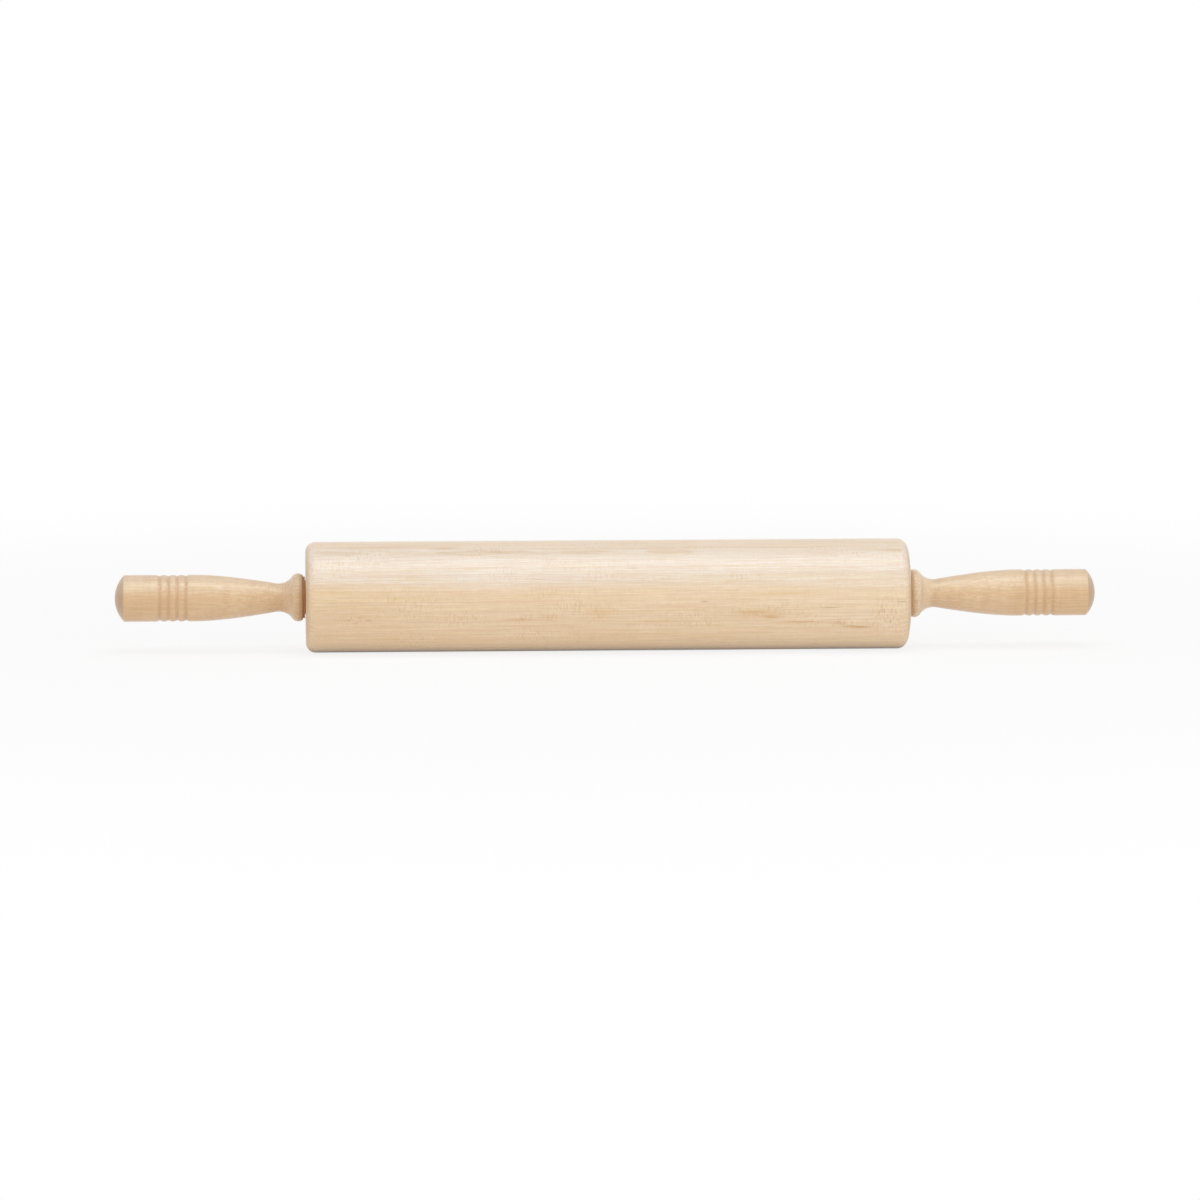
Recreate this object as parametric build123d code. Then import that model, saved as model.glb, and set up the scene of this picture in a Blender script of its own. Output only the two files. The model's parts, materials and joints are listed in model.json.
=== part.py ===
from build123d import *

import math
import os

# A rolling pin that turns on ball bearings: a maple barrel on a steel axle rod, between two turned
# maple handles. The pin's axis is X, the floor is below it, and the origin is the barrel's middle.
# All sizes are in millimetres. Places along a handle are measured outward from its back face, and
# places along a bearing from its middle.

# Barrel
barrel_length = 381.0
barrel_diameter = 69.85
barrel_end_rounding = 6.35
barrel_bore_diameter = 12.7
relief_diameter = 17.0
relief_depth = 1.0
seat_mouth_chamfer = 0.4

# Handle
handle_gap = 1.6
handle_length = 118.4
grip_radius = 14.7
neck_radius = 8.9
neck_place = 15.35
neck_rise_angle = 10.0
collar_crown_radius = 15.2
collar_crown_place = 3.1
collar_bead_radius = 4.5
plain_end_length = 19.65
dome_height = 5.9
dome_rim_rounding = 0.6

# Places and heights of the grip's swell, between the neck and the grooves
swell_shares = ((0.31, 0.46), (0.55, 0.757), (0.79, 0.945))

# Grooves turned into the grip
groove_count = 4
groove_pitch = 5.5
groove_width = 2.6
groove_depth = 0.8
bead_rise = 0.25

# Threaded insert in the handle
insert_diameter = 11.0
insert_length = 24.0
insert_chamfer = 0.5
insert_ring_count = 5
insert_ring_width = 1.4
insert_ring_depth = 0.4
drill_tip_angle = 118.0
drill_tip_space = 3.0

# Axle rod
rod_diameter = 10.0
rod_thread_reach = 22.0
rod_chamfer = 0.6

# Spacer between the bearing and the handle
spacer_boss_diameter = 11.6
spacer_plug_depth = 1.0
spacer_disc_diameter = 26.4
spacer_chamfer = 0.3

# Bearing
bearing_bore = 8.0
bearing_diameter = 22.0
bearing_width = 7.0
bearing_recess = 1.5
ring_chamfer = 0.3
ball_diameter = 3.969
ball_count = 7
ball_circle_diameter = 15.0
track_conformity_share = 0.52
land_offset = 1.4
shield_diameter = 19.4
shield_thickness = 0.35
shield_recess = 0.3
shield_lip_gap = 0.25
cage_thickness = 2.1
cage_width = 5.0

# Clearances, each on the radius
seat_clearance = 0.02
journal_clearance = 0.01
track_clearance = 0.015
pocket_clearance = 0.1
spacer_clearance = 0.06
running_clearance = 0.4

# How far a cutting solid runs past what it cuts
overrun = 5.0

# Sizes that follow
barrel_radius = barrel_diameter / 2
barrel_end = barrel_length / 2
handle_back = barrel_end + handle_gap
dome_start = handle_length - dome_height
bearing_middle = barrel_end - bearing_recess - bearing_width / 2
rod_end = handle_back + rod_thread_reach
half_width = bearing_width / 2
ball_radius = ball_diameter / 2
ball_circle_radius = ball_circle_diameter / 2
track_radius = ball_diameter * track_conformity_share
inner_land_radius = ball_circle_radius - land_offset
outer_land_radius = ball_circle_radius + land_offset
shield_seat = half_width - shield_recess - shield_thickness
turn_about_x = (0, 90, 0)


def turned(outline):
    """Turns a closed outline of lines and curves, drawn as (place, radius), about the pin's axis."""
    return revolve(make_face(outline), axis=Axis.X)


def turned_corners(*corners):
    """Turns a straight-sided outline given by its corners as (place, radius)."""
    return turned(Polyline(*corners, close=True))


def rod_along_x(radius, start, end):
    """A plain cylinder on the pin's axis, from one place to another."""
    middle = (start + end) / 2
    return Pos(middle, 0, 0) * Cylinder(radius, end - start, rotation=turn_about_x)


def arc_through(start, end, rise):
    """A round arc between two points at the same radius, whose middle stands off by the rise."""
    middle = ((start[0] + end[0]) / 2, (start[1] + end[1]) / 2 + rise)
    return ThreePointArc(start, middle, end)


def on_side(piece, side):
    """A piece built for the right end, as it lies on the named side of the pin."""
    if side == "left":
        return mirror(piece, about=Plane.YZ)
    return piece


# Barrel


def barrel():
    """The roller, with rounded ends, a through bore and a stepped bearing seat in each end."""
    body = rod_along_x(barrel_radius, -barrel_end, barrel_end)
    body = fillet(body.edges().filter_by(GeomType.CIRCLE), barrel_end_rounding)
    body -= rod_along_x(barrel_bore_diameter / 2, -barrel_end - overrun, barrel_end + overrun)
    for side in ("left", "right"):
        body -= on_side(bearing_seat(), side)
    return body


def bearing_seat():
    """The space cut for a bearing: its seat, the relief behind it and the chamfer at the mouth."""
    seat_radius = bearing_diameter / 2 + seat_clearance
    seat_floor = barrel_end - bearing_recess - bearing_width
    relief_floor = seat_floor - relief_depth
    seat = rod_along_x(seat_radius, seat_floor, barrel_end + overrun)
    relief = rod_along_x(relief_diameter / 2, relief_floor, barrel_end)
    mouth = turned_corners(
        (barrel_end - seat_mouth_chamfer, 0),
        (barrel_end - seat_mouth_chamfer, seat_radius),
        (barrel_end + overrun, seat_radius + seat_mouth_chamfer + overrun),
        (barrel_end + overrun, 0),
    )
    return seat + relief + mouth


# Handles


def collar_outline():
    """The collar's bead and the cove that runs down from it and past the neck, tangent to it."""
    bead_centre = Vector(collar_crown_place, collar_crown_radius - collar_bead_radius)
    back_radius = bead_centre.Y + math.sqrt(collar_bead_radius**2 - collar_crown_place**2)
    run = neck_place - bead_centre.X
    drop = bead_centre.Y - neck_radius
    cove_radius = (run**2 + drop**2 - collar_bead_radius**2) / (2 * (collar_bead_radius + drop))
    cove_centre = Vector(neck_place, neck_radius + cove_radius)
    towards_cove = (cove_centre - bead_centre).normalized()
    meeting = bead_centre + towards_cove * collar_bead_radius
    rise_angle = math.radians(neck_rise_angle)
    cove_end = cove_centre + Vector(math.sin(rise_angle), -math.cos(rise_angle)) * cove_radius
    bead = ThreePointArc(
        (0, back_radius), (collar_crown_place, collar_crown_radius), (meeting.X, meeting.Y)
    )
    cove = ThreePointArc(
        (meeting.X, meeting.Y), (neck_place, neck_radius), (cove_end.X, cove_end.Y)
    )
    return bead, cove


def swell_outline(start, end):
    """The grip's long swell, from the neck's rise to level at the grooves."""
    length = end[0] - start[0]
    rise = end[1] - start[1]
    through = [(start[0] + length * along, start[1] + rise * up) for along, up in swell_shares]
    rise_angle = math.radians(neck_rise_angle)
    first = (math.cos(rise_angle), math.sin(rise_angle))
    return Spline(start, *through, end, tangents=(first, (1, 0)))


def half_bead(crown, edge):
    """The side of a bead, from level at its crown down to a groove's edge."""
    half_chord = edge[0] - crown[0]
    radius = (half_chord**2 + bead_rise**2) / (2 * bead_rise)
    middle_place = (crown[0] + edge[0]) / 2
    middle_radius = crown[1] - radius + math.sqrt(radius**2 - (half_chord / 2) ** 2)
    return ThreePointArc(crown, (middle_place, middle_radius), edge)


def groove_outline():
    """The grooves with the beads between them, and where the outline starts and ends."""
    edge_radius = grip_radius - bead_rise
    half_groove = groove_width / 2
    half_crest = groove_pitch / 2 - half_groove
    last_place = dome_start - plain_end_length - groove_pitch / 2
    places = [last_place - groove_pitch * number for number in reversed(range(groove_count))]
    start = (places[0] - half_groove - half_crest, grip_radius)
    end = (places[-1] + half_groove + half_crest, grip_radius)
    pieces = [half_bead(start, (places[0] - half_groove, edge_radius))]
    for place in places:
        bottom = (place, grip_radius - groove_depth)
        far_edge = (place + half_groove, edge_radius)
        pieces.append(Line((place - half_groove, edge_radius), bottom))
        pieces.append(Line(bottom, far_edge))
        if place < places[-1]:
            next_edge = (place + groove_pitch - half_groove, edge_radius)
            pieces.append(arc_through(far_edge, next_edge, bead_rise))
    pieces.append(half_bead(end, (places[-1] + half_groove, edge_radius)))
    return pieces, start, end


def handle():
    """The right handle, from its collar to its dome, with the blind bore for its insert."""
    bead, cove = collar_outline()
    grooves, grooves_start, grooves_end = groove_outline()
    neck_end = (cove @ 1).X, (cove @ 1).Y
    swell = swell_outline(neck_end, grooves_start)
    dome_radius = (grip_radius**2 + dome_height**2) / (2 * dome_height)
    half_reach = math.asin(grip_radius / dome_radius) / 2
    dome_centre = handle_length - dome_radius
    dome_middle = (
        dome_centre + dome_radius * math.cos(half_reach),
        dome_radius * math.sin(half_reach),
    )
    plain_end = Line(grooves_end, (dome_start, grip_radius))
    dome = ThreePointArc((dome_start, grip_radius), dome_middle, (handle_length, 0))
    axis_line = Line((handle_length, 0), (0, 0))
    back = Line((0, 0), bead @ 0)
    outline = [back, bead, cove, swell, *grooves, plain_end, dome, axis_line]
    body = turned(Curve() + outline)
    rim = body.edges().filter_by(GeomType.CIRCLE).filter_by(
        lambda edge: abs(edge.center().X - dome_start) < dome_rim_rounding
    )
    body = fillet(rim, dome_rim_rounding)
    return Pos(handle_back, 0, 0) * (body - handle_bore())


def handle_bore():
    """The blind bore for the insert, with the cone that a drill leaves at its end."""
    radius = insert_diameter / 2 + seat_clearance
    depth = insert_length + drill_tip_space
    tip = radius / math.tan(math.radians(drill_tip_angle / 2))
    return turned_corners((-overrun, 0), (-overrun, radius), (depth, radius), (depth + tip, 0))


def handle_insert():
    """The brass insert, with rings turned into its outside that the glue keys into."""
    outer = insert_diameter / 2
    bore = bearing_bore / 2
    sleeve = rod_along_x(outer, 0, insert_length)
    sleeve = chamfer(sleeve.edges().filter_by(GeomType.CIRCLE), insert_chamfer)
    ring_pitch = insert_length / (insert_ring_count + 1)
    for number in range(insert_ring_count):
        middle = ring_pitch * (number + 1)
        start = middle - insert_ring_width / 2
        ring = rod_along_x(outer + overrun, start, start + insert_ring_width)
        ring -= rod_along_x(outer - insert_ring_depth, start - overrun, start + overrun)
        sleeve -= ring
    sleeve -= rod_along_x(bore, -overrun, insert_length + overrun)
    return Pos(handle_back, 0, 0) * sleeve


# Axle


def axle_rod():
    """The rod: thick between the bearings, and thinner from its shoulders out to its ends."""
    shoulder = bearing_middle - half_width
    journal_radius = bearing_bore / 2 - journal_clearance
    rod = rod_along_x(journal_radius, -rod_end, rod_end)
    rod = chamfer(rod.edges().filter_by(GeomType.CIRCLE), rod_chamfer)
    return rod + rod_along_x(rod_diameter / 2, -shoulder, shoulder)


def spacer():
    """The spacer that the handle is tightened against: a boss on the bearing's inner ring, a plug
    that keeps flour out of the bearing's seat, and a disc between the barrel and the handle."""
    start = bearing_middle + half_width
    plug_start = barrel_end - spacer_plug_depth
    disc_start = barrel_end + running_clearance
    bore = bearing_bore / 2 + spacer_clearance
    boss = spacer_boss_diameter / 2
    plug = bearing_diameter / 2 - running_clearance
    disc = spacer_disc_diameter / 2
    return turned_corners(
        (start, bore),
        (start, boss),
        (plug_start, boss),
        (plug_start, plug - spacer_chamfer),
        (plug_start + spacer_chamfer, plug),
        (disc_start, plug),
        (disc_start, disc - spacer_chamfer),
        (disc_start + spacer_chamfer, disc),
        (handle_back - spacer_chamfer, disc),
        (handle_back, disc - spacer_chamfer),
        (handle_back, bore),
    )


# Bearing


def track_edge(land_radius, track_centre):
    """How far from the bearing's middle a ball track meets its land."""
    return math.sqrt(track_radius**2 - (land_radius - track_centre) ** 2)


def outer_ring():
    """The ring that sits in the barrel, with its ball track and a step for each shield."""
    bottom = ball_circle_radius + ball_radius + track_clearance
    edge = track_edge(outer_land_radius, bottom - track_radius)
    step_radius = shield_diameter / 2 + seat_clearance
    outer = bearing_diameter / 2
    track = ThreePointArc((-edge, outer_land_radius), (0, bottom), (edge, outer_land_radius))
    rest = Polyline(
        (edge, outer_land_radius),
        (shield_seat, outer_land_radius),
        (shield_seat, step_radius),
        (half_width, step_radius),
        (half_width, outer - ring_chamfer),
        (half_width - ring_chamfer, outer),
        (ring_chamfer - half_width, outer),
        (-half_width, outer - ring_chamfer),
        (-half_width, step_radius),
        (-shield_seat, step_radius),
        (-shield_seat, outer_land_radius),
        (-edge, outer_land_radius),
    )
    return turned(track + rest)


def inner_ring():
    """The ring that sits on the axle rod, with its ball track."""
    bottom = ball_circle_radius - ball_radius - track_clearance
    edge = track_edge(inner_land_radius, bottom + track_radius)
    bore = bearing_bore / 2
    track = ThreePointArc((-edge, inner_land_radius), (0, bottom), (edge, inner_land_radius))
    rest = Polyline(
        (edge, inner_land_radius),
        (half_width, inner_land_radius),
        (half_width, bore + ring_chamfer),
        (half_width - ring_chamfer, bore),
        (ring_chamfer - half_width, bore),
        (-half_width, bore + ring_chamfer),
        (-half_width, inner_land_radius),
        (-edge, inner_land_radius),
    )
    return turned(track + rest)


def shield(inward):
    """A thin washer in the outer ring's step. The inward one faces the barrel's middle."""
    outer = shield_diameter / 2
    hole = inner_land_radius + shield_lip_gap
    near = shield_seat
    far = shield_seat + shield_thickness
    if inward:
        near, far = -far, -near
    return turned_corners((near, hole), (near, outer), (far, outer), (far, hole))


def ball_places():
    """The middle of each ball round the bearing."""
    places = []
    for number in range(ball_count):
        angle = 2 * math.pi * number / ball_count
        up = ball_circle_radius * math.cos(angle)
        across = ball_circle_radius * math.sin(angle)
        places.append(Pos(0, across, up))
    return places


def ball_cage():
    """The ring that keeps the balls apart, with a round pocket for each."""
    half_cage = cage_width / 2
    outer = ball_circle_radius + cage_thickness / 2
    inner = ball_circle_radius - cage_thickness / 2
    cage = rod_along_x(outer, -half_cage, half_cage) - rod_along_x(inner, -overrun, overrun)
    for place in ball_places():
        cage -= place * Sphere(ball_radius + pocket_clearance)
    return cage


def bearing_pieces():
    """Every piece of one bearing, about the bearing's own middle, by name."""
    pieces = {
        "outer_ring": outer_ring(),
        "inner_ring": inner_ring(),
        "inner_shield": shield(inward=True),
        "outer_shield": shield(inward=False),
        "ball_cage": ball_cage(),
    }
    for number, place in enumerate(ball_places(), start=1):
        pieces[f"ball_{number}"] = place * Sphere(ball_radius)
    return pieces


# The whole pin


def end_pieces():
    """Every piece at the right end of the pin, by name."""
    pieces = {
        "handle": handle(),
        "handle_insert": handle_insert(),
        "spacer": spacer(),
    }
    for name, piece in bearing_pieces().items():
        pieces[name] = Pos(bearing_middle, 0, 0) * piece
    return pieces


def main():
    """Writes one STEP file for each piece."""
    os.makedirs("parts", exist_ok=True)
    nodes = {"barrel": barrel(), "axle_rod": axle_rod()}
    for side in ("left", "right"):
        for name, piece in end_pieces().items():
            nodes[f"{side}_{name}"] = on_side(piece, side)
    for name, shape in nodes.items():
        export_step(shape, f"parts/{name}.step")


main()
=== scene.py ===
import json
import math

import bpy
import numpy as np
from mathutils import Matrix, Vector


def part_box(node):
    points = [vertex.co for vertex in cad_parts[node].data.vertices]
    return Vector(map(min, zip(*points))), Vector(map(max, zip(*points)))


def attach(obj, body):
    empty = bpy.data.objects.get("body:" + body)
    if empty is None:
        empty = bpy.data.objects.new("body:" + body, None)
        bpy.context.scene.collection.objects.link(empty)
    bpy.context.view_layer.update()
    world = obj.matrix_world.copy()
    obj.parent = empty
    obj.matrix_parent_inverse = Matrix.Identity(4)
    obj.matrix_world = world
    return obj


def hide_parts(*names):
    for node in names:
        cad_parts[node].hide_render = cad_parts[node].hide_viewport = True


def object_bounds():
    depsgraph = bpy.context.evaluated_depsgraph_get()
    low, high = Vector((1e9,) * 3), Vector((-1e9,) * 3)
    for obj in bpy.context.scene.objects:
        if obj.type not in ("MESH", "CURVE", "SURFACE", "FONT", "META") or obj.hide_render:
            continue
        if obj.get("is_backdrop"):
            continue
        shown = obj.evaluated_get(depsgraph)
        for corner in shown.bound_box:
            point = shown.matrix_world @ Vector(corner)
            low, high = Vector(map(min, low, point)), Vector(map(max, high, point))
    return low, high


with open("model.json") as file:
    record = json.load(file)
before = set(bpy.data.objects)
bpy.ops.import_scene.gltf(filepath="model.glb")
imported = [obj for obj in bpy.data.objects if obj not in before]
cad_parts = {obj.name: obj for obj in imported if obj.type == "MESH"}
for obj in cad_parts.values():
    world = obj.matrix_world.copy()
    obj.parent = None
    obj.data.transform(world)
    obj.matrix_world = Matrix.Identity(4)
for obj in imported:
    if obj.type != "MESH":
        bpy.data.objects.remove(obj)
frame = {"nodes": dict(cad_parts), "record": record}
cad_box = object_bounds()

# The pin lies along X on a pale floor. Lengths are in metres, angles in radians, and mm turns a
# size in millimetres into one. Places along a handle are measured outward from its back face.
mm = 0.001

barrel_low, barrel_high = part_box("barrel")
handle_low, handle_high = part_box("right_handle")
barrel_end = barrel_high.x
barrel_radius = -barrel_low.z
handle_back = handle_low.x
handle_length = handle_high.x - handle_back
collar_crown_radius = -handle_low.z

# Barrel
barrel_end_rounding = 6.35 * mm
barrel_bore_radius = 6.35 * mm
relief_radius = 8.5 * mm
relief_depth = 1.0 * mm
seat_radius = 11.02 * mm
seat_depth = 8.5 * mm
seat_mouth_chamfer = 0.4 * mm

# Handle. Its swell passes through the points in swell_shares, in shares of its length and height.
grip_radius = 14.7 * mm
neck_radius = 8.9 * mm
neck_place = 15.35 * mm
neck_rise_angle = math.radians(10)
collar_crown_place = 3.1 * mm
collar_bead_radius = 4.5 * mm
collar_back_rounding = 0.35 * mm
collar_back_turn = 0.06
plain_end_length = 19.65 * mm
dome_height = 5.9 * mm
dome_rim_rounding = 0.6 * mm
swell_shares = ((0.31, 0.46), (0.55, 0.757), (0.79, 0.945))
insert_bore_radius = 5.52 * mm
insert_bore_depth = 27.0 * mm
drill_tip_angle = math.radians(59)

# Grooves turned into the grip
groove_count = 4
groove_pitch = 5.5 * mm
groove_width = 2.6 * mm
groove_depth = 0.8 * mm
groove_bottom_rounding = 0.4 * mm
bead_rise = 0.25 * mm

# How finely the turned pieces are made
barrel_sides = 288
handle_sides = 192
arc_steps = 14
corner_steps = 6
swell_steps = 48
straight_step = 4.0 * mm
sharp_angle = math.radians(32)
same_point_distance = 0.002 * mm
on_axis_radius = 0.001 * mm

# Camera, from the photograph's view
frame_pixels = 1200
pin_pixels = 981.3
pin_middle_pixel = (606.9, 595.3)
camera_azimuth = math.radians(-3.2)
camera_elevation = math.radians(7.0)
camera_distance = 3.6
sensor_width = 36.0

# Light: the world's strength, then the lamps, by degrees round and up, metres and watts
world_light = 0.56
fill_lamp = {"elevation": 13, "distance": 2.6, "size": (1.6, 1.1), "mirrored": False}
top_lamp = {"elevation": 75, "distance": 1.5, "size": (1.6, 0.8), "mirrored": True}
lamps = {
    "top_light": {"azimuth": 8, "power": 7.1, **top_lamp},
    "right_fill": {"azimuth": 40, "power": 15.4, **fill_lamp},
    "left_fill": {"azimuth": -42, "power": 12.3, **fill_lamp},
}

# Floor: white paper, with a shaded strip right under the barrel that the camera doesn't see
floor_half_side = 40.0
white = (1, 1, 1, 1)
paper_white = (0.92, 0.92, 0.92, 1)
strip_grey = (0.2, 0.2, 0.2, 1)
strip_glow = 0.35
strip_edge = (6 * mm, 20 * mm)
strip_end_fade = 6 * mm

# The floor's glow near the pin, where its shadow falls, and where that gives way to plain white
shadow_glow = 0.82
shadow_edge = (0.3, 1.0)


# Turned shapes


def arc_points(centre, radius, start, end, steps=arc_steps):
    """Points (place, radius) along a round arc. Angles run from the outward axis, in radians."""
    points = []
    for step in range(steps + 1):
        angle = start + (end - start) * step / steps
        points.append((centre[0] + radius * math.cos(angle), centre[1] + radius * math.sin(angle)))
    return points


def hump_points(start, end, rise):
    """Points along a round arc that rises between two places at one radius."""
    half_chord = (end[0] - start[0]) / 2
    radius = (half_chord**2 + rise**2) / (2 * rise)
    middle = start[0] + half_chord
    points = []
    for step in range(arc_steps + 1):
        place = start[0] + 2 * half_chord * step / arc_steps
        height = math.sqrt(radius**2 - (place - middle) ** 2) - (radius - rise)
        points.append((place, start[1] + height))
    return points


def rounded_corner(before, corner, after, radius):
    """Points along a small round arc in place of a corner between two straight lines."""
    corner = Vector(corner)
    back = (Vector(before) - corner).normalized()
    forth = (Vector(after) - corner).normalized()
    half_corner = back.angle(forth) / 2
    centre = corner + (back + forth).normalized() * radius / math.sin(half_corner)
    from_centre = corner + back * radius / math.tan(half_corner) - centre
    half_turn = math.pi / 2 - half_corner
    side = 1 if from_centre.cross(corner - centre) > 0 else -1
    start = math.atan2(from_centre.y, from_centre.x)
    return arc_points(centre, radius, start, start + side * 2 * half_turn, corner_steps)


def straight_points(start, end):
    """Points along a straight run, close enough together for even faces."""
    run = end[0] - start[0]
    rise = end[1] - start[1]
    steps = max(1, round(math.hypot(run, rise) / straight_step))
    return [
        (start[0] + run * step / steps, start[1] + rise * step / steps) for step in range(steps + 1)
    ]


def swell_points(start, end):
    """The grip's swell, a smooth curve through the shares of its length and height."""
    length = end[0] - start[0]
    rise = end[1] - start[1]
    places = np.array([0.0] + [along for along, _ in swell_shares] + [1.0]) * length
    heights = np.array([0.0] + [up for _, up in swell_shares] + [1.0]) * rise
    slopes = clamped_slopes(places, heights, math.tan(neck_rise_angle), 0.0)
    points = []
    for step in range(swell_steps + 1):
        place = length * step / swell_steps
        span = min(np.searchsorted(places, place, side="right") - 1, len(places) - 2)
        width = places[span + 1] - places[span]
        t = (place - places[span]) / width
        height = (
            heights[span] * (2 * t**3 - 3 * t**2 + 1)
            + slopes[span] * width * (t**3 - 2 * t**2 + t)
            + heights[span + 1] * (3 * t**2 - 2 * t**3)
            + slopes[span + 1] * width * (t**3 - t**2)
        )
        points.append((start[0] + place, start[1] + height))
    return points


def clamped_slopes(places, heights, first, last):
    """The slopes of the smooth cubic curve through some points, with its two end slopes given."""
    count = len(places)
    matrix = np.eye(count)
    wanted = np.zeros(count)
    wanted[0] = first
    wanted[-1] = last
    for i in range(1, count - 1):
        before = places[i] - places[i - 1]
        after = places[i + 1] - places[i]
        matrix[i, i - 1 : i + 2] = (1 / before, 2 / before + 2 / after, 1 / after)
        wanted[i] = 3 * (
            (heights[i] - heights[i - 1]) / before**2 + (heights[i + 1] - heights[i]) / after**2
        )
    return np.linalg.solve(matrix, wanted)


def tidy(points):
    """The same outline without points that lie on the one before."""
    kept = [points[0]]
    for point in points[1:]:
        if math.dist(point, kept[-1]) > same_point_distance:
            kept.append(point)
    return kept


def add_object(name, data):
    """A new object in the scene."""
    added = bpy.data.objects.new(name, data)
    bpy.context.scene.collection.objects.link(added)
    return added


def lathe(name, outline, sides, closed):
    """A mesh turned about the pin's axis. A closed outline is a loop, an open one ends on it."""
    vertices, rings = [], []
    for place, radius in outline:
        if radius < on_axis_radius:
            rings.append([len(vertices)])
            vertices.append((place, 0, 0))
            continue
        rings.append(range(len(vertices), len(vertices) + sides))
        for side in range(sides):
            angle = 2 * math.pi * side / sides
            vertices.append((place, radius * math.sin(angle), radius * math.cos(angle)))
    faces = []
    pairs = list(zip(rings, rings[1:]))
    if closed:
        pairs.append((rings[-1], rings[0]))
    for near, far in pairs:
        for side in range(sides):
            after = (side + 1) % sides
            if len(near) == 1:
                faces.append((near[0], far[after], far[side]))
            elif len(far) == 1:
                faces.append((near[side], near[after], far[0]))
            else:
                faces.append((near[side], near[after], far[after], far[side]))
    mesh = bpy.data.meshes.new(name)
    mesh.from_pydata(vertices, [], faces)
    mesh.validate()
    mesh.polygons.foreach_set("use_smooth", [True] * len(mesh.polygons))
    mesh.set_sharp_from_angle(angle=sharp_angle)
    return add_object(name, mesh)


def barrel_outline():
    """The barrel's whole outline: rounded outside, then the bearing seats and bore inside."""
    rounding_centre = (barrel_end - barrel_end_rounding, barrel_radius - barrel_end_rounding)
    mouth = (barrel_end, seat_radius + seat_mouth_chamfer)
    past_mouth = (barrel_end - seat_mouth_chamfer, seat_radius)
    seat_floor = barrel_end - seat_depth
    relief_floor = seat_floor - relief_depth
    right = straight_points((0, barrel_radius), (rounding_centre[0], barrel_radius))
    right += arc_points(rounding_centre, barrel_end_rounding, math.pi / 2, 0)
    right += straight_points((barrel_end, rounding_centre[1]), mouth)
    right += straight_points(past_mouth, (seat_floor, seat_radius))
    right += [(seat_floor, relief_radius), (relief_floor, relief_radius)]
    right += straight_points((relief_floor, barrel_bore_radius), (0, barrel_bore_radius))
    left = [(-place, radius) for place, radius in reversed(right)]
    return tidy(right + left)[:-1]


def collar_points():
    """The collar's back, bead and cove, as far as where the grip begins to swell."""
    centre = (collar_crown_place, collar_crown_radius - collar_bead_radius)
    back_radius = centre[1] + math.sqrt(collar_bead_radius**2 - collar_crown_place**2)
    run = neck_place - centre[0]
    drop = centre[1] - neck_radius
    cove_radius = (run**2 + drop**2 - collar_bead_radius**2) / (2 * (collar_bead_radius + drop))
    cove_centre = (neck_place, neck_radius + cove_radius)
    meeting = math.atan2(cove_centre[1] - centre[1], cove_centre[0] - centre[0])
    bead_start = math.atan2(back_radius - centre[1], -centre[0]) - collar_back_turn
    cove_start = meeting + math.pi
    cove_end = 1.5 * math.pi + neck_rise_angle
    points = straight_points((0, insert_bore_radius), (0, back_radius - collar_back_rounding))
    points += arc_points(centre, collar_bead_radius, bead_start, meeting, 2 * arc_steps)
    points += arc_points(cove_centre, cove_radius, cove_start, cove_end, 2 * arc_steps)
    return points


def groove_points():
    """The grooves with the beads between them, from level to level."""
    edge_radius = grip_radius - bead_rise
    half_groove = groove_width / 2
    crest = groove_pitch - groove_width
    last = handle_length - dome_height - plain_end_length - groove_pitch / 2
    centres = [last - groove_pitch * number for number in reversed(range(groove_count))]
    first_edge = (centres[0] - half_groove, edge_radius)
    first_hump = hump_points((first_edge[0] - crest, edge_radius), first_edge, bead_rise)
    half_hump = len(first_hump) // 2
    points = first_hump[half_hump:]
    for centre in centres:
        near = (centre - half_groove, edge_radius)
        far = (centre + half_groove, edge_radius)
        bottom = (centre, grip_radius - groove_depth)
        points += [near, *rounded_corner(near, bottom, far, groove_bottom_rounding)]
        points += hump_points(far, (far[0] + crest, edge_radius), bead_rise)
    return points[:-half_hump]


def handle_outline():
    """The right handle's outline, from its bore's tip round to the dome's top."""
    grooves = groove_points()
    collar = collar_points()
    dome_start = handle_length - dome_height
    dome_radius = (grip_radius**2 + dome_height**2) / (2 * dome_height)
    dome_centre = (handle_length - dome_radius, 0)
    dome_edge = math.asin(grip_radius / dome_radius)
    back_off = dome_rim_rounding * math.tan((math.pi / 2 - dome_edge) / 2)
    rim_centre = (dome_start - back_off, grip_radius - dome_rim_rounding)
    past_rim = dome_edge - back_off / dome_radius
    bore_end = insert_bore_depth + insert_bore_radius / math.tan(drill_tip_angle)
    points = [(bore_end, 0)]
    points += straight_points((insert_bore_depth, insert_bore_radius), (0, insert_bore_radius))
    points += collar
    points += swell_points(collar[-1], grooves[0])
    points += grooves
    points += straight_points(grooves[-1], (rim_centre[0], grip_radius))
    points += arc_points(rim_centre, dome_rim_rounding, math.pi / 2, dome_edge, arc_steps // 2)
    points += arc_points(dome_centre, dome_radius, past_rim, 0, 2 * arc_steps)
    points[-1] = (handle_length, 0)
    return tidy(points)


# Materials


def from_screen(red, green, blue):
    """A colour as read on a screen, 0 to 255, as the linear colour that shaders use."""
    linear = []
    for value in (red, green, blue):
        share = value / 255
        linear.append(share / 12.92 if share <= 0.04045 else ((share + 0.055) / 1.055) ** 2.4)
    return (*linear, 1)


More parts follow.
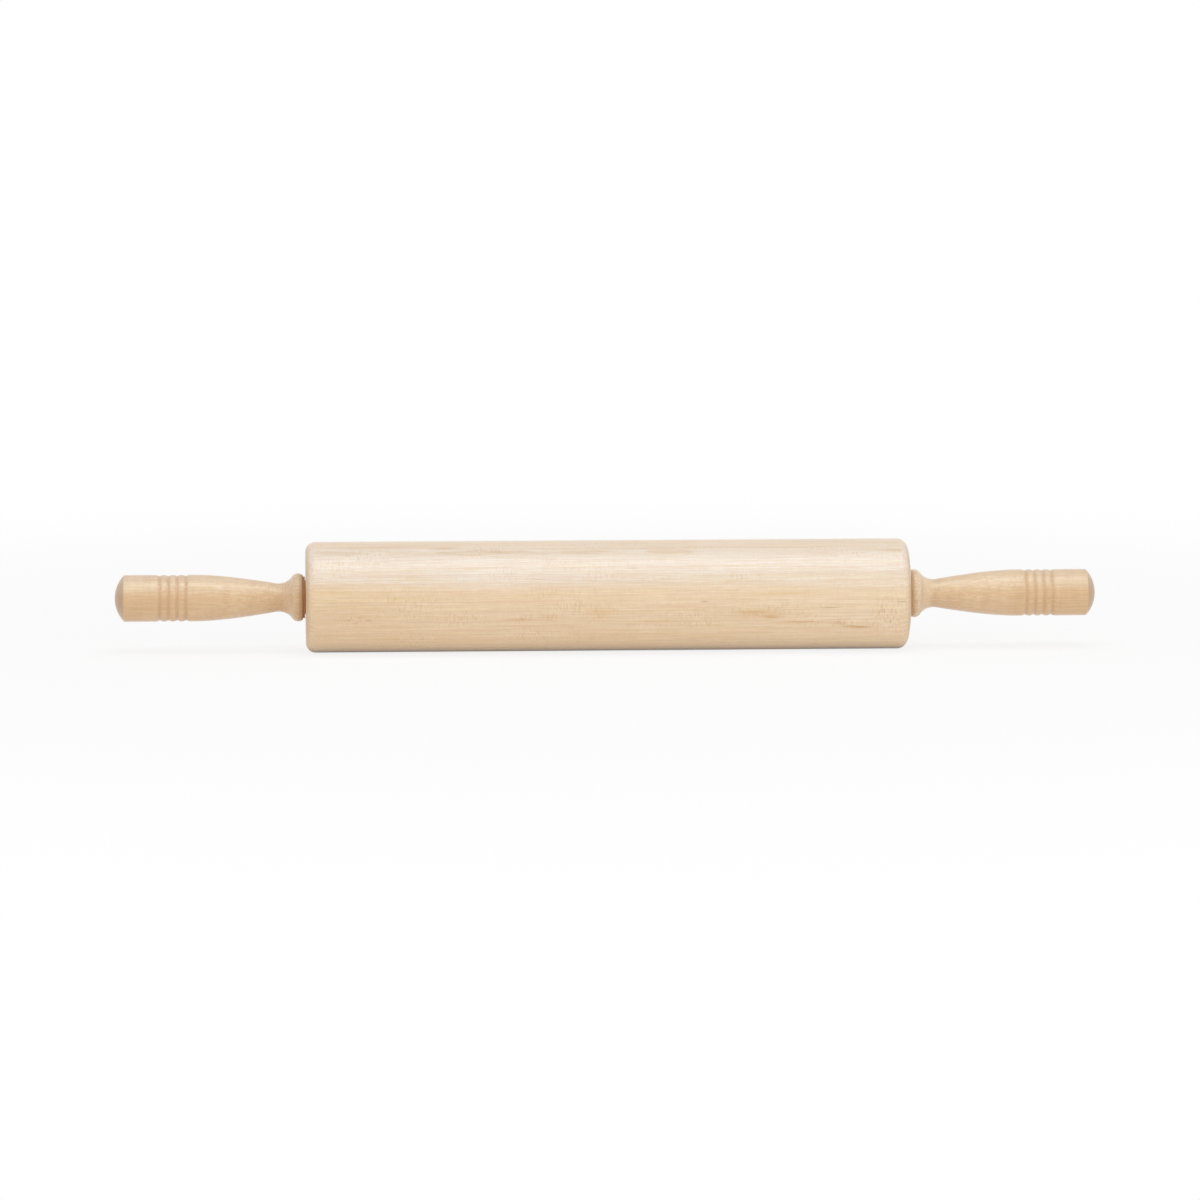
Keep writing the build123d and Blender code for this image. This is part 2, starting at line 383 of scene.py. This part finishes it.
class Nodes:
    """The node graph of a material or world, with a short call for each kind of node used here."""

    def __init__(self, owner):
        owner.use_nodes = True
        self.owner = owner
        self.tree = owner.node_tree
        self.shader = self.tree.nodes.get("Principled BSDF")

    def add(self, kind, **settings):
        """A new node, with its settings by name."""
        node = self.tree.nodes.new(kind)
        for setting, value in settings.items():
            setattr(node, setting, value)
        return node

    def join(self, value, socket):
        """Sets a socket to a number or colour, or joins another node's output to it."""
        if isinstance(value, bpy.types.NodeSocket):
            self.tree.links.new(value, socket)
        else:
            socket.default_value = value

    def join_all(self, values, sockets):
        """Sets or joins several sockets, in their order."""
        for value, socket in zip(values, sockets):
            self.join(value, socket)

    def set_shader(self, values):
        """Sets or joins the shader's own sockets, by their names."""
        for name, value in values.items():
            self.join(value, self.shader.inputs[name])

    def math(self, operation, *values):
        """The result of one sum on numbers or other nodes' outputs."""
        node = self.add("ShaderNodeMath", operation=operation)
        self.join_all(values, node.inputs)
        return node.outputs[0]

    def squares(self, first, second):
        """The sum of two squares."""
        return self.math("ADD", self.math("POWER", first, 2.0), self.math("POWER", second, 2.0))

    def distance(self, first, second):
        """The distance that two runs at right angles make."""
        return self.math("SQRT", self.squares(first, second))

    def split(self, vector):
        """A vector's x, y and z."""
        node = self.add("ShaderNodeSeparateXYZ")
        self.join(vector, node.inputs[0])
        return tuple(node.outputs)

    def place(self):
        """The point's own place in the piece, as x, y and z."""
        return self.split(self.add("ShaderNodeTexCoord").outputs["Object"])

    def end_facing(self):
        """How squarely the surface faces along the pin's axis: 0 on its sides and 1 on its ends."""
        normal = self.add("ShaderNodeTexCoord").outputs["Normal"]
        return self.math("ABSOLUTE", self.split(normal)[0])

    def noise(self, place, grain, offset, detail, roughness=0.5):
        """Smooth noise from about 0 to 1, whose grain is in metres along each of x, y and z."""
        scaled = self.add("ShaderNodeCombineXYZ")
        for value, size, socket in zip(place, grain, scaled.inputs):
            self.join(self.math("MULTIPLY_ADD", value, 1 / size, offset), socket)
        node = self.add("ShaderNodeTexNoise", noise_dimensions="3D")
        self.join(scaled.outputs[0], node.inputs["Vector"])
        node.inputs["Scale"].default_value = 1.0
        node.inputs["Detail"].default_value = detail
        node.inputs["Roughness"].default_value = roughness
        return node.outputs["Fac"]

    def step(self, value, low, high, start=0.0, end=1.0):
        """A smooth step from start to end as the value goes from low to high."""
        node = self.add("ShaderNodeMapRange", interpolation_type="SMOOTHSTEP")
        self.join_all((value, low, high, start, end), node.inputs)
        return node.outputs[0]

    def blend(self, share, first, second, mode="MIX"):
        """One colour laid over another by a share."""
        node = self.add("ShaderNodeMix", data_type="RGBA", blend_type=mode, clamp_factor=True)
        self.join(share, node.inputs[0])
        self.join_all((first, second), node.inputs[6:8])
        return node.outputs[2]

    def bump(self, height, distance, strength):
        """Relief from a height, whose unit is a distance in metres."""
        node = self.add("ShaderNodeBump")
        self.join(height, node.inputs["Height"])
        node.inputs["Distance"].default_value = distance
        node.inputs["Strength"].default_value = strength
        self.join(node.outputs[0], self.shader.inputs["Normal"])

    def white_light(self, kind, strength):
        """A shader of the kind given that shines white."""
        node = self.add(kind)
        node.inputs["Color"].default_value = white
        node.inputs["Strength"].default_value = strength
        return node.outputs[0]

    def show_mix(self, output, share, first, second):
        """Shows one shader laid over another by a share, at an output of the kind given."""
        mix = self.add("ShaderNodeMixShader")
        self.join_all((share, first, second), mix.inputs)
        self.join(mix.outputs[0], self.add(output).inputs["Surface"])


def spots(nodes, along, around, radius, places):
    """Soft spots on a turned surface, each from its strength in its middle to 0.

    A spot is its place along the pin, its angle up from the front, half its length, half its
    width and its strength, in millimetres and degrees.
    """
    total = None
    for place, angle, half_length, half_width, strength in places:
        across = nodes.math("MULTIPLY_ADD", around, radius, -math.radians(angle) * radius)
        first = nodes.math("MULTIPLY_ADD", along, 1 / (half_length * mm), -place / half_length)
        second = nodes.math("DIVIDE", across, half_width * mm)
        spot = nodes.math("MULTIPLY", nodes.squares(first, second), -1.0)
        spot = nodes.math("MULTIPLY", nodes.math("EXPONENT", spot), strength)
        total = spot if total is None else nodes.math("MAXIMUM", total, spot)
    return total


# The noises in the wood, each with its grain in metres along the pin and both ways across it, what
# it adds to the seed, and its detail. For waver and band, the grain is along the log, out from its
# pith and round it.
wood_noises = {
    "bend_y": ((0.16, 0.09, 0.09), 0, 1.0),
    "bend_z": ((0.19, 0.10, 0.10), 7, 1.0),
    "waver": ((0.06, 0.006, 0.02), 3, 3.0),
    "band": ((0.35, 0.009, 0.02), 11, 2.0),
    "fibre": ((0.050, 0.0008, 0.0008), 5, 4.0),
    "thread": ((0.010, 0.0004, 0.0004), 9, 2.0),
    "tint": ((0.080, 0.0016, 0.0016), 31, 2.0),
    "pore": ((0.0040, 0.0004, 0.0004), 13, 1.0),
    "figure": ((0.005, 0.02, 0.02), 17, 2.0),
    "fleck": ((0.0009, 0.0030, 0.0030), 19, 1.0),
    "patch": ((0.05, 0.018, 0.018), 23, 1.0),
    "end_dots": ((0.002, 0.00025, 0.00025), 29, 2.0),
}

# How strongly each feature colours the wood
ring_share = 0.45
fibre_share = 0.28
thread_share = 0.26
pore_share = 0.35
dark_fleck_share = 0.85
light_fleck_share = 0.30
groove_shade_share = 0.5
end_share = 0.75
end_dots_share = 0.5
end_ring_share = 0.7

# Painted highlight: the side on which the wood is painted palest, up from the front, where the lamp
# above shines on it, and how much the edges of that zone waver
painted_highlight_side = math.radians(45)
painted_highlight_waver = 0.12
painted_highlight_shift = -0.065

# How deep in a groove its painted shade starts and is full, in shares of the groove's depth
groove_shade_depths = (0.1, 0.8)
groove_shade_fade = 0.5 * mm


def log_place(nodes, point, log, noise):
    """Where a point lies in its log: along it, out from its pith and round it.

    The last two are bent a little along the log's length.
    """
    x, y, z = point
    bent = []
    features = ("bend_y", "bend_z")
    for across, pith, run_out, feature in zip((y, z), log["pith"], log["run_out"], features):
        straight = nodes.math("ADD", across, nodes.math("MULTIPLY_ADD", x, -run_out, -pith))
        bend = nodes.math("MULTIPLY_ADD", noise(feature, point), 2 * log["bend"], -log["bend"])
        bent.append(nodes.math("ADD", straight, bend))
    turn = nodes.math("ARCTAN2", bent[1], bent[0])
    return x, nodes.distance(*bent), nodes.math("MULTIPLY", turn, math.hypot(*log["pith"]))


def ring_lines(nodes, in_log, log, noise):
    """Growth rings: each darkens slowly and ends in a thin line, and no two are alike."""
    shift = log["shift"] - log["waver"] / 2
    waver = nodes.math("MULTIPLY_ADD", noise("waver", in_log), log["waver"], shift)
    counted = nodes.math("MULTIPLY_ADD", in_log[1], 1 / log["ring_width"], waver)
    through_ring = nodes.math("FRACT", counted)
    chance = nodes.add("ShaderNodeTexWhiteNoise", noise_dimensions="1D")
    nodes.join(nodes.math("FLOOR", counted), chance.inputs["W"])
    darkening = nodes.math("POWER", through_ring, 7.0)
    line = nodes.math("MULTIPLY", darkening, nodes.step(through_ring, 0.97, 1.0, 1.0, 0.0))
    strength = nodes.math("MULTIPLY_ADD", chance.outputs["Value"], 0.55, 0.45)
    return nodes.math("MULTIPLY", line, strength)


def painted_groove_shade(nodes, x, out, radius, grooves):
    """How far a point is in the bottom of a turned groove, where its shade is painted."""
    start, end = grooves
    along = nodes.math("ABSOLUTE", x)
    past_start = nodes.step(along, start, start + groove_shade_fade)
    before_end = nodes.step(along, end - groove_shade_fade, end, 1.0, 0.0)
    shallow, deep = (radius - share * groove_depth for share in groove_shade_depths)
    sunk = nodes.step(out, deep, shallow, 1.0, 0.0)
    return nodes.math("MULTIPLY", nodes.math("MULTIPLY", past_start, before_end), sunk)


def maple(name, radius, log, tones, figure_share, marks, seed, grooves=None):
    """Hard maple, cut from a log whose pith lies off to one side, as a solid pattern right through.

    radius is the piece's own. log holds where the log's middle passes the piece's middle, as
    (y, z), how far that moves for each metre along and how far the log wanders about that line,
    and its rings' width, with how much they waver and how far they are shifted, both in rings.
    marks holds spots by what they are: flecks, pales, stain, streak and sealed. grooves is where
    the turned grooves start and end along the pin.
    """
    nodes = Nodes(bpy.data.materials.new(name))
    point = x, y, z = nodes.place()
    out = nodes.distance(y, z)
    around = nodes.math("ARCTAN2", z, nodes.math("MULTIPLY", y, -1.0))

    def noise(feature, place):
        """One of the noises in the wood, by its name."""
        grain, shift, detail = wood_noises[feature]
        return nodes.noise(place, grain, seed + shift, detail)

    def marked(mark):
        """How strongly the marks of one name cover a point."""
        return spots(nodes, x, around, radius, marks[mark])

    # Growth rings, and fine fibres, finer threads and short pores that all run along the log
    in_log = log_place(nodes, point, log, noise)
    line = ring_lines(nodes, in_log, log, noise)
    band = noise("band", in_log)
    fibre = noise("fibre", point)
    thread = noise("thread", point)
    tint = noise("tint", point)
    pore = nodes.step(noise("pore", point), 0.64, 0.74)

    # Light ripples across the grain, where the fibres lean to and fro
    ripple = nodes.step(noise("figure", point), 0.3, 0.7, 0.0, figure_share)

    # Ray flecks, which crowd together in patches
    fleck = noise("fleck", point)
    patch = nodes.step(noise("patch", point), 0.5, 0.72, 0.12, 0.5)
    if "flecks" in marks:
        patch = nodes.math("MAXIMUM", patch, marked("flecks"))
    light_fleck = nodes.math("MULTIPLY", nodes.step(fleck, 0.54, 0.70), patch)
    dark_fleck = nodes.math("MULTIPLY", nodes.step(fleck, 0.30, 0.46, 1.0, 0.0), patch)

    # Painted highlight and shade: pale on the side that faces the lamp above, warm on the next, and
    # a deeper tone painted on the far side, below and behind, in place of its shading
    towards_painted_highlight = nodes.math("MULTIPLY", y, -math.cos(painted_highlight_side))
    towards_painted_highlight = nodes.math("MULTIPLY_ADD", z, math.sin(painted_highlight_side), towards_painted_highlight)
    towards_painted_highlight = nodes.math("DIVIDE", towards_painted_highlight, out)
    waver = nodes.math("MULTIPLY_ADD", band, painted_highlight_waver, painted_highlight_shift)
    towards_painted_highlight = nodes.math("ADD", towards_painted_highlight, waver)
    in_painted_highlight = nodes.step(towards_painted_highlight, 0.80, 0.98, 1.0, 0.0)
    in_painted_underside = nodes.step(towards_painted_highlight, -0.5, 0.45, 1.0, 0.0)
    colour = nodes.blend(in_painted_highlight, tones["pale"], tones["warm"])
    colour = nodes.blend(in_painted_underside, colour, tones["deep"])
    # The pales spots include a broad painted light on the barrel's right part
    if "pales" in marks:
        colour = nodes.blend(marked("pales"), colour, tones["light"])

    # The features laid over that, one by one
    colour = nodes.blend(nodes.math("MULTIPLY", line, ring_share), colour, tones["ring"])
    colour = nodes.blend(nodes.step(fibre, 0.38, 0.64, fibre_share, 0.0), colour, tones["ring"])
    colour = nodes.blend(nodes.step(thread, 0.35, 0.65, thread_share, 0.0), colour, tones["ring"])
    colour = nodes.blend(nodes.step(tint, 0.50, 0.70, 0.0, 1.0), colour, rosy, "MULTIPLY")
    colour = nodes.blend(nodes.step(tint, 0.30, 0.50, 1.0, 0.0), colour, golden, "MULTIPLY")
    colour = nodes.blend(nodes.math("MULTIPLY", pore, pore_share), colour, tones["ring"])
    colour = nodes.blend(ripple, colour, tones["warm"], "MULTIPLY")
    darkened = nodes.math("MULTIPLY", dark_fleck, dark_fleck_share)
    lightened = nodes.math("MULTIPLY", light_fleck, light_fleck_share)
    colour = nodes.blend(darkened, colour, tones["ring"])
    colour = nodes.blend(lightened, colour, tones["light"])

    # Single marks, with ragged edges
    ragged = nodes.step(fibre, 0.3, 0.6, 1.1, 0.7)
    # The stain spots include a broad painted shade on the barrel's left part
    for mark in ("stain_and_shade", "streak"):
        if mark in marks:
            share = nodes.math("MULTIPLY", marked(mark), ragged)
            colour = nodes.blend(share, colour, tones[mark])

    # Painted shade: the turned grooves are darkened in their bottoms, where shade falls
    if grooves:
        groove_shade = painted_groove_shade(nodes, x, out, radius, grooves)
        colour = nodes.blend(nodes.math("MULTIPLY", groove_shade, groove_shade_share), colour, tones["ring"])

    # End grain drinks more oil where it isn't sealed: darker, with rings and open pores
    end_grain = nodes.step(nodes.end_facing(), 0.45, 0.95)
    if "sealed" in marks:
        open_share = nodes.math("SUBTRACT", 1.0, marked("sealed"))
        end_grain = nodes.math("MULTIPLY", end_grain, open_share)
    dots = nodes.step(noise("end_dots", point), 0.45, 0.7, 0.0, end_dots_share)
    dotted = nodes.blend(dots, tones["end"], tones["ring"])
    dotted = nodes.blend(nodes.math("MULTIPLY", line, end_ring_share), dotted, tones["streak"])
    colour = nodes.blend(nodes.math("MULTIPLY", end_grain, end_share), colour, dotted)

    # Satin oil: duller in end grain and dark fibres, smoother on pale flecks
    rough = nodes.step(fibre, 0.3, 0.7, 0.44, 0.38)
    rough = nodes.math("MULTIPLY_ADD", end_grain, 0.16, rough)
    rough = nodes.math("MULTIPLY_ADD", light_fleck, -0.05, rough)
    nodes.set_shader(
        {
            "Base Color": colour,
            "Roughness": rough,
            "Specular IOR Level": 0.5,
            "IOR": 1.47,
            "Coat Weight": 1.0,
            "Coat Roughness": 0.34,
        }
    )

    # Faint relief, with pores and ring lines sunk between the fibres
    height = nodes.math("ADD", fibre, nodes.math("MULTIPLY", thread, 0.5))
    height = nodes.math("MULTIPLY_ADD", pore, -1.2, height)
    height = nodes.math("MULTIPLY_ADD", line, -0.4, height)
    nodes.bump(height, 0.012 * mm, 0.7)
    return nodes.owner


def turned_metal(name, colour, dull_colour, roughness, line_width, seed):
    """Metal turned on a lathe: fine lines round its axis, and duller patches from handling."""
    nodes = Nodes(bpy.data.materials.new(name))
    x, y, z = nodes.place()
    turned = (x, nodes.distance(y, z), 0.0)
    lines = nodes.noise(turned, (line_width, line_width, 1.0), seed, 3.0, roughness=0.7)
    patches = nodes.noise((x, y, z), (0.012, 0.006, 0.006), seed + 4, 4.0)
    dull = nodes.step(patches, 0.45, 0.7, 0.0, 0.6)
    base = nodes.blend(nodes.step(lines, 0.35, 0.65, 0.0, 0.35), colour, dull_colour)
    rough = nodes.math("MULTIPLY_ADD", lines, 0.18, roughness - 0.09)
    nodes.set_shader(
        {
            "Base Color": nodes.blend(dull, base, dull_colour),
            "Roughness": nodes.math("MULTIPLY_ADD", dull, 0.15, rough),
            "Metallic": 1.0,
        }
    )
    nodes.bump(lines, 0.004 * mm, 0.6)
    return nodes.owner


def moulded(name, colour, speck_colour, roughness, speck, seed):
    """A moulded or pressed material with fine specks, a faint mottle and a soft grain."""
    nodes = Nodes(bpy.data.materials.new(name))
    place = nodes.place()
    mottle = nodes.noise(place, (0.004, 0.004, 0.004), seed, 3.0)
    specks = nodes.noise(place, (speck, speck, speck), seed + 2, 2.0)
    base = nodes.blend(nodes.step(mottle, 0.3, 0.7, 0.0, 0.4), colour, speck_colour)
    base = nodes.blend(nodes.step(specks, 0.55, 0.7, 0.0, 0.5), base, speck_colour)
    rough = nodes.math("MULTIPLY_ADD", mottle, 0.2, roughness - 0.1)
    nodes.set_shader({"Base Color": base, "Roughness": rough})
    nodes.bump(specks, 0.01 * mm, 0.5)
    return nodes.owner


# The turned wood

# In both woods' tones, pale is a painted highlight for the upper front side, and deep is a tone
# painted on the underside in place of its shading
barrel_tones = {
    "pale": from_screen(233, 225, 215),
    "warm": from_screen(233, 211, 181),
    "deep": from_screen(239, 212, 172),
    "ring": from_screen(205, 168, 122),
    "end": from_screen(200, 164, 122),
    "light": from_screen(246, 233, 212),
    "stain_and_shade": from_screen(204, 157, 96),
    "streak": from_screen(148, 108, 68),
}
handle_tones = {
    "pale": from_screen(228, 208, 179),
    "warm": from_screen(220, 188, 148),
    "deep": from_screen(231, 194, 148),
    "ring": from_screen(192, 151, 104),
    "end": from_screen(166, 130, 94),
    "light": from_screen(242, 221, 190),
    "stain_and_shade": from_screen(190, 136, 84),
    "streak": from_screen(146, 102, 64),
}

# Faint tints that run along the fibres of both
rosy = from_screen(255, 249, 245)
golden = from_screen(254, 252, 238)

barrel_log = {
    "pith": (-0.082, 0.132),
    "run_out": (0.0, 0.0),
    "bend": 0.6 * mm,
    "ring_width": 3.25 * mm,
    "waver": 0.25,
    "shift": 0.93,
}

# Where the photograph shows flecks, brown stains, short dark streaks and paler wood, as spots
# Two broad spots here are painted light and shade, not wood: a darkening of the barrel's left part
# and a lightening of its right part
barrel_marks = {
    "flecks": (
        (176, -18, 10, 13, 1.0),
        (55, -19, 15, 7, 0.7),
        (96, -15, 10, 4, 0.8),
        (150, -25, 9, 4, 0.8),
        (-94, -17, 20, 5, 0.8),
        (-158, -18, 12, 3.5, 0.9),
        (-56, -17, 8, 3.5, 0.8),
        (-37, -16, 7, 3.5, 0.8),
        (-8, -18, 8, 3.5, 0.8),
        (20, -24, 20, 3, 0.5),
        (120, -20, 20, 5, 0.6),
    ),
    "stain_and_shade": (
        (91.0, -11.6, 16.0, 0.9, 0.95),
        (100.7, -16.5, 8.0, 1.4, 0.9),
        (94.0, -14.5, 18.0, 3.0, 0.35),
        (122.0, -23.2, 15.0, 0.7, 0.85),
        (144.0, -24.8, 5.0, 2.0, 0.6),
        (157.0, -29.8, 9.0, 0.8, 0.9),
        (105.0, 48.0, 7.0, 1.5, 0.12),
        (150.0, 34.0, 9.0, 1.0, 0.15),
        (-56.5, -18.0, 9.0, 1.2, 0.6),
        (-37.0, -16.5, 8.0, 1.6, 0.45),
        (-7.0, -12.0, 8.0, 3.5, 0.4),
        (-6.0, -16.5, 6.0, 0.9, 0.35),
        (30.0, -22.0, 16.0, 0.7, 0.3),
        (-104.0, 67.0, 9.0, 1.8, 0.55),
        (-70.0, 59.0, 8.0, 1.0, 0.35),
        (-150.0, 69.0, 34.0, 2.0, 0.45),
        (60.0, 65.0, 110.0, 1.5, 0.25),
        # Painted shade: a broad, faint darkening of the barrel's left part, as the light falls more
        # from the right
        (-168.0, -10.0, 48.0, 24.0, 0.15),
    ),
    "streak": (
        (59.3, -0.2, 2.4, 0.45, 0.7),
        (14.8, 36.0, 3.0, 0.35, 0.4),
        (139.0, -7.5, 6.5, 0.3, 0.65),
        (151.5, -28.3, 4.0, 0.4, 0.55),
        (159.0, -30.2, 4.0, 0.3, 0.5),
        (184.0, -2.0, 3.0, 0.3, 0.7),
        (103.0, -18.2, 3.0, 0.4, 0.4),
        (-82.0, -37.0, 8.0, 0.3, 0.3),
        (-42.5, 24.0, 8.0, 0.3, 0.25),
        (-151.0, -18.0, 1.2, 0.5, 0.45),
        (-157.0, -15.0, 1.0, 0.5, 0.4),
        (-159.5, -21.0, 1.4, 0.4, 0.4),
        (-164.0, -18.0, 1.2, 0.5, 0.4),
        (-146.0, -13.0, 1.0, 0.4, 0.35),
    ),
    "pales": (
        # Painted light: a broad lightening of the barrel's right part, as the light falls more from
        # the right
        (150.0, -8.0, 60.0, 30.0, 0.2),
        (-82.0, 71.0, 14.0, 3.0, 0.3),
    ),
}

# Lighter all the way round each handle's swell and collar, and browner in the left neck
left_handle_marks = {
    "pales": ((-232.0, 0.0, 26.0, 1000.0, 0.2), (-197.0, 0.0, 8.0, 1000.0, 0.4)),
    "sealed": ((-199.6, 0.0, 5.0, 1000.0, 0.9),),
    "stain_and_shade": ((-205.0, 0.0, 9.0, 1000.0, 0.18),),
}
right_handle_marks = {
    "pales": (
        (232.0, 0.0, 26.0, 1000.0, 0.25),
        (211.0, 0.0, 7.0, 1000.0, 0.3),
        (198.0, 0.0, 8.0, 1000.0, 1.0),
    ),
    "sealed": ((199.6, 0.0, 5.0, 1000.0, 0.5),),
}

# How much of the ripple across the grain each piece of wood shows
barrel_figure = 0.06
handle_figure = 0.16


def make_barrel():
    """The barrel, bored right through."""
    piece = lathe("turned_barrel", barrel_outline(), barrel_sides, closed=True)
    wood = (barrel_radius, barrel_log, barrel_tones, barrel_figure, barrel_marks)
    piece.data.materials.append(maple("barrel_wood", *wood, seed=3.0))
    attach(piece, "roller")
    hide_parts("barrel")


def make_handle(side, pith, run_out, marks, seed):
    """A handle on one side, from its own piece of wood."""
    outward = {"left": -1, "right": 1}[side]
    outline = [(outward * (handle_back + place), radius) for place, radius in handle_outline()]
    if side == "left":
        outline.reverse()
    piece = lathe(f"{side}_turned_handle", outline, handle_sides, closed=False)
    log = {
        "pith": pith,
        "run_out": run_out,
        "bend": 3.0 * mm,
        "ring_width": 2.1 * mm,
        "waver": 1.2,
        "shift": 0.0,
    }
    grooves_end = handle_back + handle_length - dome_height - plain_end_length
    grooves = (grooves_end - groove_count * groove_pitch, grooves_end)
    wood = (grip_radius, log, handle_tones, handle_figure, marks, seed, grooves)
    piece.data.materials.append(maple(f"{side}_handle_wood", *wood))
    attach(piece, "axle")
    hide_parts(f"{side}_handle")


make_barrel()
make_handle("left", (-0.050, -0.020), (0.03, 0.02), left_handle_marks, seed=21.0)
make_handle("right", (-0.048, 0.014), (-0.05, 0.02), right_handle_marks, seed=34.0)

# The metal and moulded pieces inside, by the record's slots. A metal has its colour, its duller
# colour, its roughness, the width of its turned lines and a seed, and a moulding has its specks'
# colour and size in their place.
metals = {
    "rod_steel": ((0.62, 0.63, 0.64, 1), (0.42, 0.41, 0.39, 1), 0.30, 0.25 * mm, 41.0),
    "bearing_steel": ((0.70, 0.71, 0.72, 1), (0.50, 0.49, 0.47, 1), 0.22, 0.12 * mm, 42.0),
    "ball_steel": ((0.80, 0.81, 0.82, 1), (0.66, 0.66, 0.65, 1), 0.12, 0.40 * mm, 43.0),
    "shield_steel": ((0.66, 0.67, 0.68, 1), (0.46, 0.45, 0.44, 1), 0.35, 0.20 * mm, 44.0),
    "insert_brass": ((0.72, 0.52, 0.22, 1), (0.42, 0.28, 0.12, 1), 0.30, 0.18 * mm, 45.0),
}
mouldings = {
    "spacer_fibre": (from_screen(212, 160, 116), from_screen(184, 134, 94), 0.6, 0.25 * mm, 46.0),
    "cage_nylon": (from_screen(96, 72, 50), from_screen(70, 50, 34), 0.5, 0.2 * mm, 47.0),
}
by_slot = {slot: turned_metal(slot, *finish) for slot, finish in metals.items()}
by_slot.update({slot: moulded(slot, *finish) for slot, finish in mouldings.items()})
for subpart in frame["record"]["subparts"]:
    if subpart["material_slot"] in by_slot:
        materials = frame["nodes"][subpart["node"]].data.materials
        materials.clear()
        materials.append(by_slot[subpart["material_slot"]])


# Floor, light and camera


def make_floor():
    """A plain white floor that keeps the pin's soft shadow."""
    half = floor_half_side
    mesh = bpy.data.meshes.new("floor")
    corners = [(-half, -half, 0), (half, -half, 0), (half, half, 0), (-half, half, 0)]
    mesh.from_pydata(corners, [], [(0, 1, 2, 3)])
    floor = add_object("floor", mesh)
    floor.location.z = cad_box[0].z
    floor.data.materials.append(floor_material())
    floor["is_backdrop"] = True


def floor_material():
    """White paper: lit by the lamps, and most of it plain white to the camera and in reflections.

    A strip right under the barrel is shaded, but not to the camera: it only dims bounced light and
    reflections, as the shadow where the barrel rests on the floor does.
    """
    nodes = Nodes(bpy.data.materials.new("floor_white"))
    nodes.tree.nodes.clear()
    path = nodes.add("ShaderNodeLightPath").outputs
    x, y, _ = nodes.place()
    beside = nodes.step(nodes.math("ABSOLUTE", y), *strip_edge, strip_glow, 1.0)
    strip_end = (barrel_end - strip_end_fade, barrel_end + strip_end_fade)
    beyond = nodes.step(nodes.math("ABSOLUTE", x), *strip_end)
    clear = nodes.math("MAXIMUM", beside, beyond)
    reflected = nodes.math("MAXIMUM", path["Is Glossy Ray"], path["Is Transmission Ray"])
    reflected = nodes.math("MULTIPLY", reflected, clear)
    seen = nodes.math("MAXIMUM", reflected, path["Is Camera Ray"])
    away = nodes.step(nodes.distance(x, y), *shadow_edge, shadow_glow, 1.0)
    lit = nodes.math("MAXIMUM", clear, path["Is Camera Ray"])
    paper = nodes.add("ShaderNodeBsdfDiffuse")
    nodes.join(nodes.blend(lit, strip_grey, paper_white), paper.inputs["Color"])
    glow = nodes.white_light("ShaderNodeEmission", 1.0)
    share = nodes.math("MULTIPLY", seen, away)
    nodes.show_mix("ShaderNodeOutputMaterial", share, paper.outputs[0], glow)
    return nodes.owner


def make_world():
    """Even light from all round, with plain white behind everything."""
    world = bpy.data.worlds.new("studio")
    bpy.context.scene.world = world
    nodes = Nodes(world)
    nodes.tree.nodes.clear()
    path = nodes.add("ShaderNodeLightPath").outputs
    fill = nodes.white_light("ShaderNodeBackground", world_light)
    behind = nodes.white_light("ShaderNodeBackground", 1.0)
    seen = nodes.math("MAXIMUM", path["Is Camera Ray"], path["Is Glossy Ray"])
    nodes.show_mix("ShaderNodeOutputWorld", seen, fill, behind)


def direction(azimuth, elevation):
    """The way from the pin's middle to a point round it and above it, by two angles in radians."""
    return Vector(
        (
            math.sin(azimuth) * math.cos(elevation),
            -math.cos(azimuth) * math.cos(elevation),
            math.sin(elevation),
        )
    )


def make_lamp(name, azimuth, elevation, distance, size, power, mirrored):
    """A soft box at a direction round the pin, turned towards its middle.

    One that isn't mirrored doesn't show in the pin's gloss, where from behind it would be a glare.
    """
    towards_lamp = direction(math.radians(azimuth), math.radians(elevation))
    lamp = bpy.data.lights.new(name, "AREA")
    lamp.shape = "RECTANGLE"
    lamp.size, lamp.size_y = size
    lamp.energy = power
    holder = add_object(name, lamp)
    holder.location = towards_lamp * distance
    holder.visible_glossy = mirrored
    holder.rotation_euler = (-towards_lamp).to_track_quat("-Z", "Y").to_euler()


def make_camera():
    """The photograph's view: level, a little above the pin and towards its left end."""
    scale = (cad_box[1].x - cad_box[0].x) / pin_pixels
    back = direction(camera_azimuth, camera_elevation)
    turn = (-back).to_track_quat("-Z", "Y")
    right = turn @ Vector((1, 0, 0))
    up = turn @ Vector((0, 1, 0))
    middle = (cad_box[0] + cad_box[1]) / 2
    half_frame = frame_pixels / 2
    target = middle - right * (pin_middle_pixel[0] - half_frame) * scale
    target -= up * (half_frame - pin_middle_pixel[1]) * scale
    camera = bpy.data.cameras.new("camera")
    camera.sensor_width = sensor_width
    camera.lens = sensor_width * camera_distance / (frame_pixels * scale)
    holder = add_object("camera", camera)
    holder.rotation_mode = "QUATERNION"
    holder.rotation_quaternion = turn
    holder.location = target + back * camera_distance
    bpy.context.scene.camera = holder


make_floor()
make_world()
for lamp_name, settings in lamps.items():
    make_lamp(lamp_name, **settings)
make_camera()
bpy.context.scene.view_settings.view_transform = "Standard"

boxes = {"cad": cad_box, "visual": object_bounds()}
{name: [list(corner) for corner in box] for name, box in boxes.items()}
